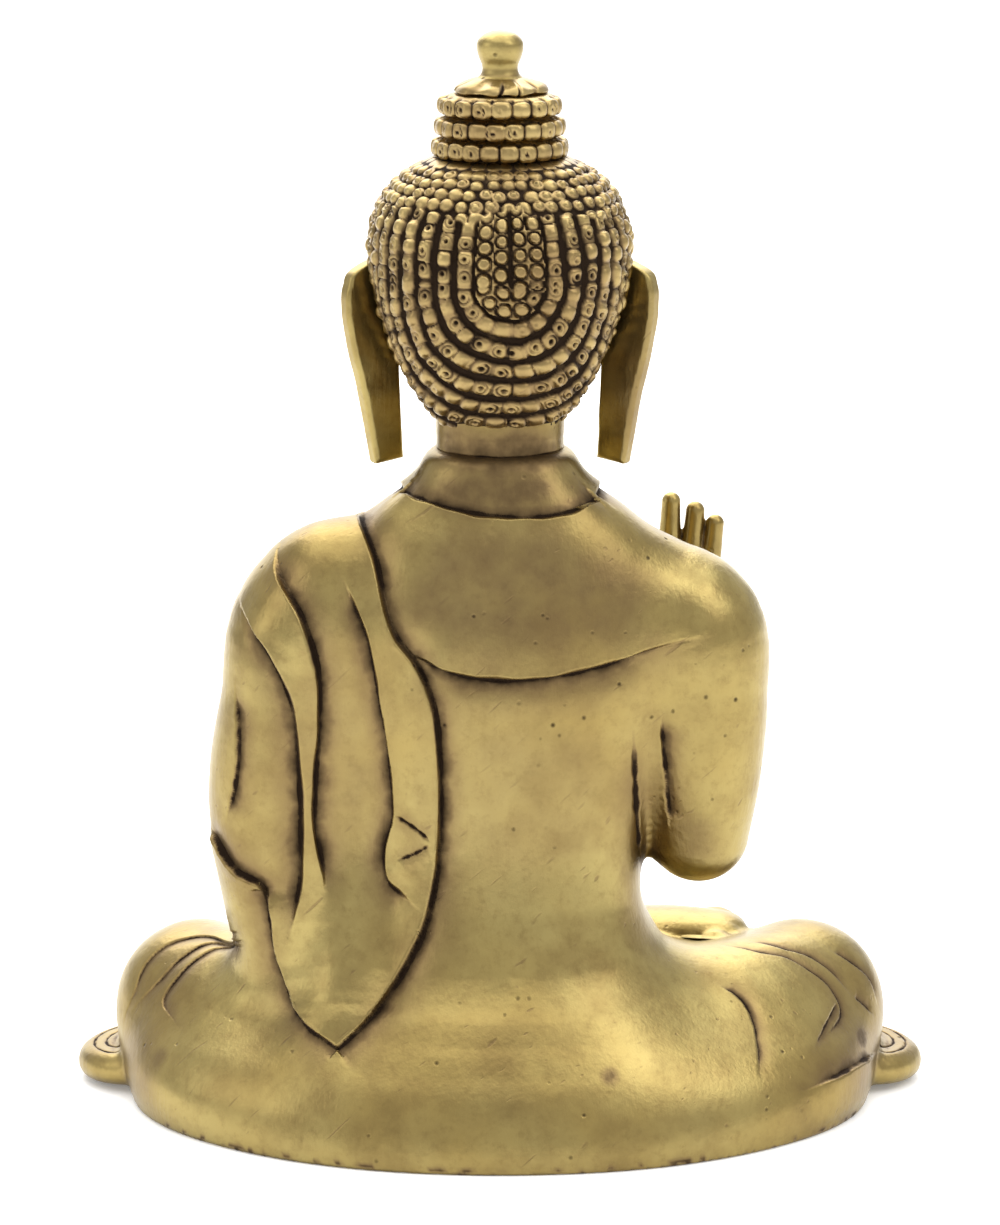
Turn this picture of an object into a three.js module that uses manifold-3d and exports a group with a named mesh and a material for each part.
// A seated Buddha in cast brass, one hand raised in blessing, as the separate castings it is brazed from.
// Millimetres, +Z up. The figure faces -Y and its left side is +X. The origin is the middle of the footprint.
import * as THREE from "three";
import { mergeVertices } from "three/addons/utils/BufferGeometryUtils.js";
import Module from "manifold-3d";

const wasm = await Module();
wasm.setup();

// ---------- Driving dimensions ----------
const HEIGHT = 200; // floor to the tip of the finial
const HALF_WIDTH = 80.5; // to the outer edge of a hem lobe
const HALF_DEPTH = 51; // to the back of the seat, and to the front of the hem fan
const WALL = 3.5; // body casting
const GAP = 0.3; // air left between neighbouring pieces, filled by braze on the real figure
const WAIST_Z = 30; // joint between the seat casting and the torso casting
const COLLAR_Z = 116; // joint between the torso and the collar ring
const NECK_Z = 123; // joint between the collar ring and the head casting
const INLAY = 1.6; // depth of the pocket that holds the shoulder drape
const PLATE = 1.5; // closing plate under the seat
const FAR = 300; // larger than the figure, for cutting blocks

// Cross-sections of upright masses: [height, half width, back y, front y].
const TORSO = [
  [4, 52, 50, -28],
  [12, 44, 48, -21],
  [20, 35.5, 43, -14.5],
  [28, 30, 37, -10],
  [36, 27, 32.5, -7.5],
  [46, 26, 29.5, -6.5],
  [58, 28, 28.8, -7.5],
  [71, 32, 30, -9.5],
  [84, 35.5, 31.3, -11.5],
  [95, 36, 31, -10.5],
  [104, 33, 29, -7],
  [110, 27, 26.5, -3.5],
  [116, 20, 23.5, -1.5],
  [121, 14.5, 21, -2],
  [127, 12.2, 19.4, -3],
];
const SKIRT = [
  [-6, 72.5, 51, -45.5],
  [0, 72.5, 51, -45.5],
  [4, 72.8, 50.5, -46],
  [10, 71, 47.6, -45],
  [16, 66, 42.5, -41],
  [21, 58, 35, -35],
  [25, 46, 26, -27],
  [27.5, 30, 15, -17],
];
const NECK = [
  [NECK_Z, 12.8, 20.2, -3],
  [127, 12, 19.2, -3.5],
  [132, 11.8, 18.6, -5],
  [138, 11.8, 18, -6],
];
const FACE = [
  [126.5, 7, 2, -15.5],
  [129, 11.5, 6, -19],
  [133, 15.3, 10, -21],
  [138, 18, 14, -22],
  [144, 19.8, 16, -22.3],
  [150, 20.8, 18, -22],
  [156, 21.3, 19, -22.2],
  [161, 21.2, 19, -22],
  [166, 20, 18, -20.5],
  [171, 16.5, 15, -16.5],
  [174.5, 11, 10, -10.5],
];
const HAIR = [
  [128.5, 9, 17.5, 5],
  [131, 12.5, 20, 0],
  [135, 15.5, 22.5, -6],
  [140, 18.2, 25, -12],
  [146, 20.8, 27.3, -17],
  [152, 22.8, 28.7, -20.5],
  [158, 24, 29.3, -22.5],
  [163, 24.1, 28.8, -23],
  [168, 22.8, 26.5, -21.5],
  [172, 20.3, 23, -18.5],
  [175, 16.5, 18.5, -14],
  [177, 12.5, 13.5, -9],
];
const HAIR_DEPTH = 2.4; // thickness of the curl casting

// Limbs: [x, y, z, radius] along the middle.
const RIGHT_UPPER_ARM = [
  [-30, 11, 96.5, 14],
  [-34.5, 12, 94, 14.2],
  [-36.6, 13, 80, 12.6],
  [-36.9, 13, 65, 10.8],
  [-36.6, 11, 53.5, 9.3],
];
const LEFT_UPPER_ARM = [
  [30, 11, 96.5, 14],
  [34.5, 12, 95, 14.4],
  [38.8, 13, 78, 13.6],
  [41.4, 13, 60, 12.6],
  [39.6, 13, 43, 11.6],
  [36.5, 12, 25, 10.5],
];
const RIGHT_FOREARM = [
  [-36.2, 5, 55, 8.4],
  [-34.8, -9, 65, 7.4],
  [-33.8, -20.5, 76, 5.6],
];
const LEFT_FOREARM = [
  [41, 8, 55, 10],
  [34, -10, 48, 9],
  [21, -23, 42.5, 7],
];
const THIGH = [
  [19, 22, 14.6, 15],
  [40, 8, 14.6, 15],
  [56.8, -9, 14.6, 15],
];
const SHIN = [
  [55, -14, 12.5, 12],
  [24, -32, 12.5, 11.5],
  [-6, -33, 14, 9],
];
const NOSE = [
  [0, -21.6, 153, 1.6],
  [0, -23.4, 147.5, 2.2],
  [0, -25, 143.4, 2.6],
];

// Raised right hand: the index finger bends to meet the thumb, and the other three stand up.
const WRIST_Z = 79;
const RAISED_PALM = [
  [-33.9, -21, 76, 4.8],
  [-34, -23.5, 82, 5.6],
  [-34.2, -24.6, 88, 6.4],
  [-34.6, -25, 93, 6.6],
];
const RAISED_DIGITS = {
  index: [
    [-28.8, -24.6, 94, 2.3],
    [-27.6, -28.5, 101, 2.1],
    [-26.6, -33.2, 98.6, 1.9],
  ],
  middle: [
    [-32, -24.8, 92, 2.4],
    [-32.2, -25, 102, 2.2],
    [-32.4, -25.2, 108.3, 1.9],
  ],
  ring: [
    [-35.8, -24.8, 92, 2.4],
    [-36.5, -25, 101, 2.1],
    [-37, -25.2, 106.5, 1.9],
  ],
  little: [
    [-39, -24.6, 90, 2.2],
    [-40.1, -24.8, 98, 2],
    [-40.8, -25, 104.1, 1.8],
  ],
  thumb: [
    [-29.6, -24.4, 83, 2.7],
    [-26.2, -29, 88.5, 2.4],
    [-26.2, -33.4, 94.6, 2],
  ],
};

// Left hand, palm up in the lap.
const WRIST_X = 19;
const RESTING_PALM = [
  [22, -24, 41.5, 4.4],
  [15, -26, 40, 5.6],
  [7, -27.5, 39, 6],
];
const RESTING_DIGITS = {
  index: [
    [6, -32, 39.6, 2.4],
    [-3, -33.5, 39.8, 2.2],
    [-11.5, -33, 40.6, 1.9],
  ],
  middle: [
    [5, -28.6, 39.4, 2.4],
    [-4, -29.4, 39.6, 2.2],
    [-13.5, -29, 40.6, 1.9],
  ],
  ring: [
    [5, -25, 39.4, 2.4],
    [-4, -25.4, 39.6, 2.2],
    [-12.5, -25.2, 40.6, 1.9],
  ],
  little: [
    [6, -21.8, 39.6, 2.2],
    [-2, -21.8, 39.8, 2],
    [-9.5, -21.8, 40.6, 1.7],
  ],
  thumb: [
    [14, -30, 41, 2.8],
    [8, -34, 43.4, 2.4],
    [2, -34.5, 45.4, 2],
  ],
};

// A foot lying sole up across the opposite thigh, drawn over the left thigh.
const FOOT = [
  [8, -22, 27.6, 5.2],
  [22, -18, 28, 5],
  [34, -14, 28.6, 5.2],
  [43, -12, 28.6, 4.2],
];
const FOOT_BOTTOM_Z = 23.5;
const FAN_HALF_WIDTH = 24;

// Crown: each tier is [underside z, radius].
const CROWN_Y = 3;
const TIER = 3.8;
const TIERS = {
  ushnisha_lower_tier: [177, 12.3],
  ushnisha_middle_tier: [180.8, 11.7],
  ushnisha_upper_tier: [184.6, 11.1],
};
const CROWN_Z = 177;
const CAP_Z = 188.4;
const CAP_TOP_Z = 191.8;
const TANG = 2.4; // radius of the finial's tang

const NECK_Y = 10.5; // middle of the neck tenon
const NECK_TENON = 7; // radius of the tenon under the neck
const EAR_TOP_Z = 158;
const EAR_BOTTOM_Z = 123.3;
const EAR_THICK = 3.2;
const EAR_FLARE = 32; // degrees between an ear and the plane through both shoulders
const EAR_ROOT_X = 21;
const EAR_ROOT_Y = 4;
const DRAPE_FRONT_Y = 12; // the drape stops on the ridge of the shoulder

// ---------- Solids ----------
function solid(geometry) {
  const bare = geometry.index ? geometry.toNonIndexed() : geometry.clone();
  bare.deleteAttribute("normal");
  bare.deleteAttribute("uv");
  const merged = mergeVertices(bare, 1e-4);
  const corners = merged.index.array;
  const triVerts = [];
  for (let i = 0; i < corners.length; i += 3) {
    const [a, b, c] = corners.slice(i, i + 3);
    if (a !== b && b !== c && c !== a) triVerts.push(a, b, c);
  }
  const made = new wasm.Manifold(
    new wasm.Mesh({
      numProp: 3,
      vertProperties: merged.attributes.position.array,
      triVerts: new Uint32Array(triVerts),
    }),
  );
  if (made.volume() < 0) throw new Error("a shape is inside out");
  return made;
}

const join = (...solids) => solids.reduce((whole, s) => whole.add(s));
const cut = (from, ...solids) => solids.reduce((left, s) => left.subtract(s), from);

function move(geometry, x, y, z) {
  return geometry.applyMatrix4(new THREE.Matrix4().makeTranslation(x, y, z));
}

function block(x0, x1, y0, y1, z0, z1) {
  const box = new THREE.BoxGeometry(x1 - x0, y1 - y0, z1 - z0);
  return solid(move(box, (x0 + x1) / 2, (y0 + y1) / 2, (z0 + z1) / 2));
}

const below = (z) => block(-FAR, FAR, -FAR, FAR, -FAR, z);
const above = (z) => block(-FAR, FAR, -FAR, FAR, z, FAR);

// A closed skin over rings that all hold the same number of points, with a fan at each end.
function skin(rings) {
  const count = rings[0].length;
  const middle = (ring) =>
    ring.reduce((sum, p) => sum.add(p), new THREE.Vector3()).divideScalar(count);
  const points = [...rings.flat(), middle(rings[0]), middle(rings.at(-1))];
  const index = [];
  for (let r = 0; r + 1 < rings.length; r++)
    for (let i = 0; i < count; i++) {
      const j = (i + 1) % count;
      const [a, b] = [r * count + i, r * count + j];
      index.push(a, b, b + count, a, b + count, a + count);
    }
  const last = (rings.length - 1) * count;
  for (let i = 0; i < count; i++) {
    const j = (i + 1) % count;
    index.push(points.length - 2, j, i);
    index.push(points.length - 1, last + i, last + j);
  }
  const geometry = new THREE.BufferGeometry().setFromPoints(points);
  geometry.setIndex(index);
  return solid(geometry);
}

const power = (value, exponent) => Math.sign(value) * Math.abs(value) ** exponent;

// A superellipse ring at height z: half width a, from y = front to y = back.
function section(z, a, back, front, squareness, count) {
  const [middle, half] = [(back + front) / 2, (back - front) / 2];
  return Array.from({ length: count }, (_, i) => {
    const t = (i / count) * 2 * Math.PI;
    return new THREE.Vector3(
      a * power(Math.cos(t), 2 / squareness),
      middle + half * power(Math.sin(t), 2 / squareness),
      z,
    );
  });
}

// An upright mass through its sections, grown by `grow` square to its surface.
function mass(sections, grow = 0, squareness = 2.3, count = 22) {
  const last = sections.length - 1;
  const girth = ([, a, back, front]) => (a + (back - front) / 2) / 2;
  const rings = sections.map(([z, a, back, front], i) => {
    const [under, over] = [sections[Math.max(i - 1, 0)], sections[Math.min(i + 1, last)]];
    const slope = Math.atan2(girth(over) - girth(under), over[0] - under[0]);
    const capped = i === 0 || i === last;
    const side = capped ? grow : grow * Math.cos(slope);
    const lift = capped ? (i === 0 ? -grow : grow) : -grow * Math.sin(slope);
    return section(z + lift, a + side, back + side, front - side, squareness, count);
  });
  return skin(rings);
}

// A round limb with domed ends through [x, y, z, radius] points, grown by `grow`.
function limb(joints, grow = 0, count = 11) {
  const path = new THREE.CatmullRomCurve3(joints.map(([x, y, z]) => new THREE.Vector3(x, y, z)));
  const radii = new THREE.SplineCurve(joints.map((j, i) => new THREE.Vector2(i, j[3])));
  const steps = 2 * (joints.length - 1);
  const frames = path.computeFrenetFrames(steps);
  const ring = (step, radius, along) => {
    const centre = path.getPoint(step / steps).addScaledVector(frames.tangents[step], along);
    return Array.from({ length: count }, (_, i) => {
      const t = (i / count) * 2 * Math.PI;
      return centre
        .clone()
        .addScaledVector(frames.normals[step], radius * Math.cos(t))
        .addScaledVector(frames.binormals[step], radius * Math.sin(t));
    });
  };
  const radiusAt = (step) => radii.getPoint(step / steps).y + grow;
  const dome = [0.95, 0.6];
  const rings = dome.map((s) => ring(0, radiusAt(0) * Math.sqrt(1 - s * s), -s * radiusAt(0)));
  for (let step = 0; step <= steps; step++) rings.push(ring(step, radiusAt(step), 0));
  for (const s of dome.toReversed())
    rings.push(ring(steps, radiusAt(steps) * Math.sqrt(1 - s * s), s * radiusAt(steps)));
  return skin(rings);
}

const mirrored = (joints) => joints.map(([x, ...rest]) => [-x, ...rest]);

// A solid of revolution about the vertical through (0, y), from [radius, z] profile points.
function turned(profile, y, count = 36) {
  const lathe = new THREE.LatheGeometry(
    profile.map(([r, z]) => new THREE.Vector2(r, z)),
    count,
  );
  return solid(move(lathe.rotateX(Math.PI / 2), 0, y, 0));
}

const rod = (radius, z0, z1, y) => turned([[0, z0], [radius, z0], [radius, z1], [0, z1]], y, 16);

// A flat outline in the x, z plane, extruded from y0 to y1.
function panel(shape, y0, y1, curveSegments = 8) {
  const plate = new THREE.ExtrudeGeometry(shape, {
    depth: y1 - y0,
    bevelEnabled: false,
    curveSegments,
  });
  return solid(move(plate.rotateX(Math.PI / 2), 0, y1, 0));
}

// ---------- Body ----------
const LEGS = [THIGH, mirrored(THIGH), SHIN, mirrored(SHIN)];

// The whole robed body, with the head and hands left off, grown by `grow`.
function body(grow) {
  return join(
    mass(TORSO, grow),
    mass(SKIRT, grow, 2.15, 28),
    limb(RIGHT_UPPER_ARM, grow),
    limb(LEFT_UPPER_ARM, grow),
    ...LEGS.map((leg) => limb(leg, grow)),
  );
}

// The folded end of the robe that hangs from the left shoulder to a point at the hip.
function drapePrism(grow) {
  const shape = new THREE.Shape();
  const right = [[22.5, 104], [17.5, 88], [11.5, 72], [11, 58], [13, 44], [20, 31]];
  const left = [[35, 28], [40, 38], [45, 50]];
  shape.moveTo(27 - grow, 122);
  shape.splineThru(right.map(([x, z]) => new THREE.Vector2(x - grow, z)));
  shape.lineTo(28, 20 - 2 * grow);
  shape.splineThru(left.map(([x, z]) => new THREE.Vector2(x + grow, z)));
  shape.lineTo(62, 58 - grow);
  shape.lineTo(62, 122);
  shape.closePath();
  return panel(shape, DRAPE_FRONT_Y - grow, FAR, 2);
}

const whole = cut(body(0), below(0));
const cavity = body(-WALL);
const clearance = body(GAP);
const drapePocket = cut(drapePrism(GAP), body(-INLAY));

function torsoCasting() {
  const tenons = [RIGHT_FOREARM, LEFT_FOREARM].map((arm) => forearmTenon(arm, GAP));
  const solidTorso = cut(whole, below(WAIST_Z + GAP), above(COLLAR_Z));
  return cut(solidTorso, cavity, drapePocket, ...tenons);
}

// The seat casting has a low wall inside its waist that the torso casting drops over.
function seatCasting() {
  const root = cut(mass(TORSO, -WALL + 0.5), above(WAIST_Z));
  const lip = cut(mass(TORSO, -WALL - GAP), above(WAIST_Z + 4));
  const register = cut(join(root, lip), mass(TORSO, -WALL - 2.8), below(WAIST_Z - 6));
  const pegs = [1, -1].map((side) => footPeg(side, GAP));
  return cut(join(cut(whole, above(WAIST_Z), cavity, drapePocket), register), ...pegs);
}

function shoulderDrape() {
  return cut(drapePrism(0).intersect(body(0.5)), body(GAP - INLAY), above(COLLAR_Z));
}

function basePlate() {
  const [, halfWidth, back, front] = SKIRT[1];
  const inset = WALL + GAP;
  const rim = section(0, halfWidth - inset, back - inset, front + inset, 2.15, 28);
  const outline = new THREE.Shape(rim.map((p) => new THREE.Vector2(p.x, p.y)));
  return solid(new THREE.ExtrudeGeometry(outline, { depth: PLATE, bevelEnabled: false }));
}

// The rolled edge of the robe at the nape, with a spigot that drops into the torso.
function collarRing() {
  const ring = cut(mass(TORSO, 0.8), below(COLLAR_Z + GAP), above(NECK_Z));
  const spigot = cut(mass(TORSO, -WALL - GAP), below(COLLAR_Z - 5), above(COLLAR_Z + 2));
  return cut(join(ring, spigot), rod(NECK_TENON + GAP, COLLAR_Z - FAR, FAR, NECK_Y));
}

// ---------- Head ----------
// The opening in the hair that shows the face, as a prism running forward.
function faceWindow(grow) {
  const [halfWidth, hairline, chin] = [19.5 + grow, 166 + grow, 120];
  const shape = new THREE.Shape();
  shape.moveTo(-halfWidth, chin);
  shape.lineTo(halfWidth, chin);
  shape.lineTo(halfWidth, 150);
  shape.bezierCurveTo(halfWidth, 160, halfWidth * 0.6, hairline, 0, hairline);
  shape.bezierCurveTo(-halfWidth * 0.6, hairline, -halfWidth, 160, -halfWidth, 150);
  shape.closePath();
  return panel(shape, -FAR, -1 + grow, 6);
}

function headCasting() {
  const face = join(mass(FACE), limb(NOSE, 0, 7)).intersect(faceWindow(0));
  const tenon = rod(NECK_TENON, COLLAR_Z + 1, NECK_Z + 4, NECK_Y);
  const neck = cut(mass(NECK), below(NECK_Z + GAP));
  const crownSocket = rod(TANG + GAP, CROWN_Z - 12, FAR, CROWN_Y);
  return cut(join(mass(HAIR, -HAIR_DEPTH - GAP), face, neck, tenon), crownSocket);
}

function hairCap() {
  const crownSocket = rod(TANG + GAP, CROWN_Z - 12, FAR, CROWN_Y);
  return cut(mass(HAIR), mass(HAIR, -HAIR_DEPTH), mass(NECK, GAP), faceWindow(GAP), crownSocket);
}

// A long flat ear that flares from the side of the head; side is 1 for the left.
function ear(side) {
  const [top, bottom] = [EAR_TOP_Z, EAR_BOTTOM_Z];
  const shape = new THREE.Shape();
  shape.moveTo(0.5, top - 5);
  shape.quadraticCurveTo(2.5, top + 1, 5.5, top - 1);
  shape.quadraticCurveTo(8.5, top - 4, 7.6, top - 12);
  shape.lineTo(2.6, bottom);
  shape.lineTo(-3.4, bottom);
  shape.lineTo(-3.2, bottom + 14);
  shape.closePath();
  const flap = new THREE.ExtrudeGeometry(shape, {
    depth: EAR_THICK,
    bevelEnabled: false,
    curveSegments: 5,
  });
  flap.rotateX(Math.PI / 2).rotateZ(THREE.MathUtils.degToRad(EAR_FLARE));
  flap.translate(EAR_ROOT_X, EAR_ROOT_Y, 0);
  const left = cut(solid(flap), mass(HAIR, GAP), mass(NECK, 3));
  return side > 0 ? left : reflected(left);
}

// The mirror image of a solid in the plane x = 0.
function reflected(made) {
  const geometry = toGeometry(made);
  geometry.scale(-1, 1, 1);
  const flipped = Array.from(geometry.index.array);
  for (let i = 0; i < flipped.length; i += 3)
    [flipped[i], flipped[i + 1]] = [flipped[i + 1], flipped[i]];
  geometry.setIndex(flipped);
  return solid(geometry);
}

// ---------- Crown ----------
// A round-edged disc bored for the finial's tang.
function crownDisc(z0, z1, radius, edge = 1) {
  const bore = TANG + GAP;
  const profile = [
    [bore, z0],
    [radius - edge, z0],
    [radius, z0 + edge],
    [radius, z1 - edge],
    [radius - edge, z1],
    [bore, z1],
    [bore, z0],
  ];
  return turned(profile, CROWN_Y, 20);
}

function finial() {
  const knob = [
    [0, CROWN_Z - 11],
    [TANG, CROWN_Z - 11],
    [TANG, CAP_TOP_Z + GAP],
    [3.9, CAP_TOP_Z + GAP],
    [3.2, CAP_TOP_Z + 1.6],
    [3.3, CAP_TOP_Z + 2.8],
    [4.2, CAP_TOP_Z + 4.4],
    [4, CAP_TOP_Z + 6.2],
    [2.6, HEIGHT - 0.5],
    [0, HEIGHT],
  ];
  return turned(knob, CROWN_Y, 16);
}

// ---------- Arms ----------
// A tenon on the elbow end of a forearm that enters the upper arm.
function forearmTenon([elbow, wrist], grow) {
  const [from, to] = [elbow, wrist].map(([x, y, z]) => new THREE.Vector3(x, y, z));
  const along = to.clone().sub(from).normalize();
  const [radius, length] = [3.2 + grow, 14 + 2 * grow];
  const pin = new THREE.CylinderGeometry(radius, radius, length, 12);
  pin.applyQuaternion(new THREE.Quaternion().setFromUnitVectors(new THREE.Vector3(0, 1, 0), along));
  const centre = from.addScaledVector(along, 6);
  return solid(move(pin, centre.x, centre.y, centre.z));
}

function rightForearm() {
  const arm = cut(limb(RIGHT_FOREARM), clearance, above(WRIST_Z - GAP));
  return cut(join(arm, forearmTenon(RIGHT_FOREARM, 0)), rightWristPeg(GAP));
}

function leftForearm() {
  const arm = cut(limb(LEFT_FOREARM), clearance, block(-FAR, WRIST_X + GAP, -FAR, FAR, -FAR, FAR));
  return cut(join(arm, forearmTenon(LEFT_FOREARM, 0)), leftWristPeg(GAP));
}

function rightWristPeg(grow) {
  const [x, y] = RIGHT_FOREARM.at(-1);
  return solid(
    move(new THREE.CylinderGeometry(2 + grow, 2 + grow, 9 + 2 * grow, 12).rotateX(Math.PI / 2), x, y, WRIST_Z),
  );
}

function leftWristPeg(grow) {
  const [, y, z] = LEFT_FOREARM.at(-1);
  return solid(
    move(new THREE.CylinderGeometry(2 + grow, 2 + grow, 9 + 2 * grow, 12).rotateZ(Math.PI / 2), WRIST_X, y, z),
  );
}

function rightHand() {
  const digits = Object.values(RAISED_DIGITS).map((digit) => limb(digit, 0, 7));
  const hand = join(limb(RAISED_PALM, 0, 10), ...digits);
  return join(cut(hand, below(WRIST_Z)), rightWristPeg(0));
}

function leftHand() {
  const digits = Object.values(RESTING_DIGITS).map((digit) => limb(digit, 0, 7));
  const hand = join(limb(RESTING_PALM, 0, 10), ...digits);
  return join(cut(hand, block(WRIST_X, FAR, -FAR, FAR, -FAR, FAR)), leftWristPeg(0));
}

// ---------- Feet and hem ----------
// A peg under a foot, set in the shin or thigh that it lies on.
function footPeg(side, grow) {
  const [x, y, z] = FOOT[1];
  const peg = new THREE.CylinderGeometry(2 + grow, 2 + grow, 7 + 2 * grow, 12);
  return solid(move(peg.rotateX(Math.PI / 2), side * x, y, z - 3.5));
}

// A foot lying sole up across the opposite thigh; side is 1 over the left thigh.
function foot(side) {
  const sole = FOOT.map(([x, y, z, r]) => [side * x, y, z, r]);
  const flat = cut(limb(sole, 0, 12), clearance, below(FOOT_BOTTOM_Z));
  return join(flat, footPeg(side, 0));
}

// The pleated hem that fans out on the floor in front of the crossed legs.
function frontHemFan() {
  const shape = new THREE.Shape();
  const folds = 5;
  const [fold, bulge] = [(2 * FAN_HALF_WIDTH) / folds, 2.4];
  shape.moveTo(-FAN_HALF_WIDTH, -30);
  for (let i = 0; i < folds; i++) {
    const x = -FAN_HALF_WIDTH + i * fold;
    const edge = bulge - HALF_DEPTH + 1.5 * Math.abs(i - 2);
    shape.lineTo(x, edge);
    shape.quadraticCurveTo(x + fold / 2, edge - 2 * bulge, x + fold, edge);
  }
  shape.lineTo(FAN_HALF_WIDTH, -30);
  shape.closePath();
  const slab = new THREE.ExtrudeGeometry(shape, { depth: 4, bevelEnabled: false, curveSegments: 4 });
  return cut(solid(slab), clearance);
}

// A tongue of cloth spread out from under a knee; side is 1 for the left.
function hemLobe(side) {
  const [root, y0, y1] = [60, -27, 1];
  const reach = root + ((HALF_WIDTH - root) * 4) / 3;
  const shape = new THREE.Shape();
  shape.moveTo(root, y0);
  shape.bezierCurveTo(reach, y0, reach, y1, root, y1);
  shape.closePath();
  const slab = new THREE.ExtrudeGeometry(shape, {
    depth: 7.5,
    bevelEnabled: true,
    bevelThickness: 1.2,
    bevelSize: 1.2,
    bevelOffset: -1.2,
    bevelSegments: 1,
    curveSegments: 12,
  });
  const left = cut(solid(move(slab, 0, 0, 2.5)), clearance);
  return side > 0 ? left : reflected(left);
}

// ---------- Assembly ----------
function toGeometry(made) {
  const mesh = made.getMesh();
  const geometry = new THREE.BufferGeometry();
  geometry.setAttribute("position", new THREE.BufferAttribute(mesh.vertProperties, 3));
  geometry.setIndex(new THREE.BufferAttribute(mesh.triVerts, 1));
  return geometry;
}

const SATIN_BRASS = { color: 0xb59f63, roughness: 0.38, metalness: 1 };
const AGED_BRASS = { color: 0x8f7a45, roughness: 0.5, metalness: 1 };
const PLATE_BRASS = { color: 0x9c8750, roughness: 0.55, metalness: 1 };

const statue = new THREE.Group();
statue.name = "seated_buddha";

function add(name, made, finish = SATIN_BRASS) {
  const geometry = toGeometry(made);
  geometry.computeVertexNormals();
  const mesh = new THREE.Mesh(geometry, new THREE.MeshStandardMaterial(finish));
  mesh.name = name;
  statue.add(mesh);
}

add("seat_casting", seatCasting());
add("base_plate", basePlate(), PLATE_BRASS);
add("torso_casting", torsoCasting());
add("shoulder_drape", shoulderDrape());
add("collar_ring", collarRing());
add("head_casting", headCasting());
add("hair_cap", hairCap(), AGED_BRASS);
add("left_ear", ear(1));
add("right_ear", ear(-1));
for (const [name, [z, radius]] of Object.entries(TIERS))
  add(name, crownDisc(z + GAP, z + TIER, radius), AGED_BRASS);
add("ushnisha_cap", crownDisc(CAP_Z + GAP, CAP_TOP_Z, 8.8, 1.2), AGED_BRASS);
add("finial", finial());
add("right_forearm", rightForearm());
add("right_hand", rightHand());
add("left_forearm", leftForearm());
add("left_hand", leftHand());
add("left_foot", foot(-1));
add("right_foot", foot(1));
add("front_hem_fan", frontHemFan());
add("left_hem_lobe", hemLobe(1));
add("right_hem_lobe", hemLobe(-1));

export default statue;
